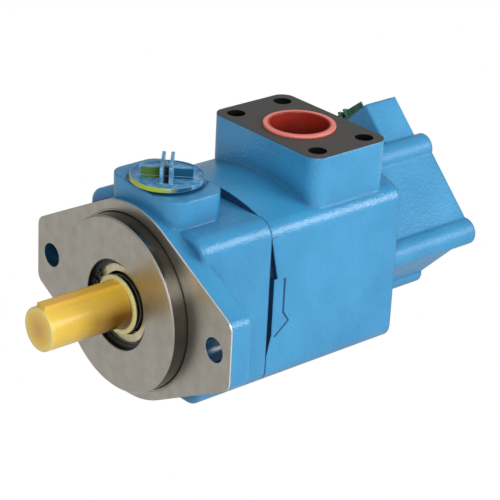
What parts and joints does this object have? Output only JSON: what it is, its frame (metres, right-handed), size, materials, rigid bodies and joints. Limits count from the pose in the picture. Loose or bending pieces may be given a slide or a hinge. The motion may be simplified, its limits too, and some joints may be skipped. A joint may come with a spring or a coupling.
{
  "type": "hydraulic vane pump",
  "caption": "Double hydraulic vane pump with a two-bolt flange, a keyed shaft, a square inlet pad and threaded outlets, capped for transport.",
  "frame": {"origin": "centre of the mounting flange's front face, on the shaft axis", "axes": "-Y along the shaft out of the pump, +Y towards the rear cover, +Z towards the inlet pad, +X across the flange to the right seen from the shaft end"},
  "size_m": [0.1726, 0.2865, 0.1366],
  "materials": {
    "blue_paint": "semi-gloss enamel over cast iron",
    "black_steel": "black oxide",
    "ground_steel": "ground",
    "bearing_steel": "polished",
    "brass": "turned",
    "cast_iron": "machined",
    "rubber": "moulded",
    "yellow_plastic": "translucent dipped vinyl",
    "red_plastic": "moulded polyethylene",
    "teal_plastic": "translucent moulded"
  },
  "bodies": {
    "housing": {"front_housing": "blue_paint", "inlet_housing": "blue_paint", "rear_cover": "blue_paint", "housing_screws": "black_steel", "cover_screws": "black_steel", "bearing_outer_race": "bearing_steel", "bearing_shields": "bearing_steel", "bearing_snap_ring": "black_steel", "seal_case": "ground_steel", "seal_lip": "rubber", "seal_spring": "ground_steel", "housing_o_ring": "rubber", "cover_o_ring": "rubber", "front_plate_seal": "rubber", "rear_plate_seal": "rubber", "rear_bush": "brass", "front_plate_spring": "black_steel", "rear_plate_spring": "black_steel", "front_locating_pins": "ground_steel", "rear_locating_pins": "ground_steel", "front_cam_ring": "ground_steel", "rear_cam_ring": "ground_steel", "front_pressure_plate": "cast_iron", "rear_pressure_plate": "cast_iron", "front_wear_plate": "cast_iron", "rear_wear_plate": "cast_iron"},
    "shaft": {"drive_shaft": "ground_steel", "shaft_key": "ground_steel", "front_rotor": "ground_steel", "rear_rotor": "ground_steel", "bearing_inner_race": "bearing_steel", "shaft_snap_ring": "black_steel"},
    "bearing_train": {"bearing_balls": "bearing_steel", "bearing_cage": "brass"},
    "shaft_cap": {"shaft_cap": "yellow_plastic"},
    "inlet_plug": {"inlet_plug": "red_plastic"},
    "front_outlet_plug": {"front_outlet_plug": "teal_plastic"},
    "rear_outlet_plug": {"rear_outlet_plug": "teal_plastic"},
    "front_vane_1": {"front_vane_1": "bearing_steel"},
    "front_vane_2": {"front_vane_2": "bearing_steel"},
    "front_vane_3": {"front_vane_3": "bearing_steel"},
    "front_vane_4": {"front_vane_4": "bearing_steel"},
    "front_vane_5": {"front_vane_5": "bearing_steel"},
    "front_vane_6": {"front_vane_6": "bearing_steel"},
    "front_vane_7": {"front_vane_7": "bearing_steel"},
    "front_vane_8": {"front_vane_8": "bearing_steel"},
    "front_vane_9": {"front_vane_9": "bearing_steel"},
    "front_vane_10": {"front_vane_10": "bearing_steel"},
    "front_vane_11": {"front_vane_11": "bearing_steel"},
    "front_vane_12": {"front_vane_12": "bearing_steel"},
    "rear_vane_1": {"rear_vane_1": "bearing_steel"},
    "rear_vane_2": {"rear_vane_2": "bearing_steel"},
    "rear_vane_3": {"rear_vane_3": "bearing_steel"},
    "rear_vane_4": {"rear_vane_4": "bearing_steel"},
    "rear_vane_5": {"rear_vane_5": "bearing_steel"},
    "rear_vane_6": {"rear_vane_6": "bearing_steel"},
    "rear_vane_7": {"rear_vane_7": "bearing_steel"},
    "rear_vane_8": {"rear_vane_8": "bearing_steel"},
    "rear_vane_9": {"rear_vane_9": "bearing_steel"},
    "rear_vane_10": {"rear_vane_10": "bearing_steel"}
  },
  "joints": [
    {"name": "shaft_spin", "type": "hinge", "parent": "housing", "child": "shaft", "pos_m": [0, 0, 0], "axis": [0, 1, 0], "continuous": true},
    {"name": "bearing_spin", "type": "hinge", "parent": "housing", "child": "bearing_train", "pos_m": [0, 0.0025, 0], "axis": [0, 1, 0], "continuous": true},
    {"name": "shaft_cap_pull", "type": "slide", "parent": "shaft", "child": "shaft_cap", "axis": [0, -1, 0], "range_m": [0, 0.064]},
    {"name": "inlet_plug_pull", "type": "slide", "parent": "housing", "child": "inlet_plug", "axis": [0, 0, 1], "range_m": [0, 0.026]},
    {"name": "front_outlet_plug_pull", "type": "slide", "parent": "housing", "child": "front_outlet_plug", "axis": [0, 0, 1], "range_m": [0, 0.014]},
    {"name": "rear_outlet_plug_pull", "type": "slide", "parent": "housing", "child": "rear_outlet_plug", "axis": [-0.7071, 0, 0.7071], "range_m": [0, 0.012]},
    {"name": "front_vane_1_slide", "type": "slide", "parent": "shaft", "child": "front_vane_1", "axis": [0.9659, 0, 0.2588], "range_m": [-0.0011, 0]},
    {"name": "front_vane_2_slide", "type": "slide", "parent": "shaft", "child": "front_vane_2", "axis": [0.7071, 0, 0.7071], "range_m": [-0.0011, 0.00145]},
    {"name": "front_vane_3_slide", "type": "slide", "parent": "shaft", "child": "front_vane_3", "axis": [0.2588, 0, 0.9659], "range_m": [-0.0011, 0.00291]},
    {"name": "front_vane_4_slide", "type": "slide", "parent": "shaft", "child": "front_vane_4", "axis": [-0.2588, 0, 0.9659], "range_m": [-0.0011, 0.00291]},
    {"name": "front_vane_5_slide", "type": "slide", "parent": "shaft", "child": "front_vane_5", "axis": [-0.7071, 0, 0.7071], "range_m": [-0.0011, 0.00145]},
    {"name": "front_vane_6_slide", "type": "slide", "parent": "shaft", "child": "front_vane_6", "axis": [-0.9659, 0, 0.2588], "range_m": [-0.0011, 0]},
    {"name": "front_vane_7_slide", "type": "slide", "parent": "shaft", "child": "front_vane_7", "axis": [-0.9659, 0, -0.2588], "range_m": [-0.0011, 0]},
    {"name": "front_vane_8_slide", "type": "slide", "parent": "shaft", "child": "front_vane_8", "axis": [-0.7071, 0, -0.7071], "range_m": [-0.0011, 0.00145]},
    {"name": "front_vane_9_slide", "type": "slide", "parent": "shaft", "child": "front_vane_9", "axis": [-0.2588, 0, -0.9659], "range_m": [-0.0011, 0.00291]},
    {"name": "front_vane_10_slide", "type": "slide", "parent": "shaft", "child": "front_vane_10", "axis": [0.2588, 0, -0.9659], "range_m": [-0.0011, 0.00291]},
    {"name": "front_vane_11_slide", "type": "slide", "parent": "shaft", "child": "front_vane_11", "axis": [0.7071, 0, -0.7071], "range_m": [-0.0011, 0.00145]},
    {"name": "front_vane_12_slide", "type": "slide", "parent": "shaft", "child": "front_vane_12", "axis": [0.9659, 0, -0.2588], "range_m": [-0.0011, 0]},
    {"name": "rear_vane_1_slide", "type": "slide", "parent": "shaft", "child": "rear_vane_1", "axis": [0.9511, 0, 0.309], "range_m": [-0.0007, 0.000011]},
    {"name": "rear_vane_2_slide", "type": "slide", "parent": "shaft", "child": "rear_vane_2", "axis": [0.5878, 0, 0.809], "range_m": [-0.0007, 0.00169]},
    {"name": "rear_vane_3_slide", "type": "slide", "parent": "shaft", "child": "rear_vane_3", "axis": [0, 0, 1], "range_m": [-0.0007, 0.00235]},
    {"name": "rear_vane_4_slide", "type": "slide", "parent": "shaft", "child": "rear_vane_4", "axis": [-0.5878, 0, 0.809], "range_m": [-0.0007, 0.00169]},
    {"name": "rear_vane_5_slide", "type": "slide", "parent": "shaft", "child": "rear_vane_5", "axis": [-0.9511, 0, 0.309], "range_m": [-0.0007, 0.000011]},
    {"name": "rear_vane_6_slide", "type": "slide", "parent": "shaft", "child": "rear_vane_6", "axis": [-0.9511, 0, -0.309], "range_m": [-0.0007, 0.000011]},
    {"name": "rear_vane_7_slide", "type": "slide", "parent": "shaft", "child": "rear_vane_7", "axis": [-0.5878, 0, -0.809], "range_m": [-0.0007, 0.00169]},
    {"name": "rear_vane_8_slide", "type": "slide", "parent": "shaft", "child": "rear_vane_8", "axis": [0, 0, -1], "range_m": [-0.0007, 0.00235]},
    {"name": "rear_vane_9_slide", "type": "slide", "parent": "shaft", "child": "rear_vane_9", "axis": [0.5878, 0, -0.809], "range_m": [-0.0007, 0.00169]},
    {"name": "rear_vane_10_slide", "type": "slide", "parent": "shaft", "child": "rear_vane_10", "axis": [0.9511, 0, -0.309], "range_m": [-0.0007, 0.000011]}
  ],
  "couplings": [
    {"joint": "bearing_spin", "follows": "shaft_spin", "ratio": 0.3982}
  ]
}
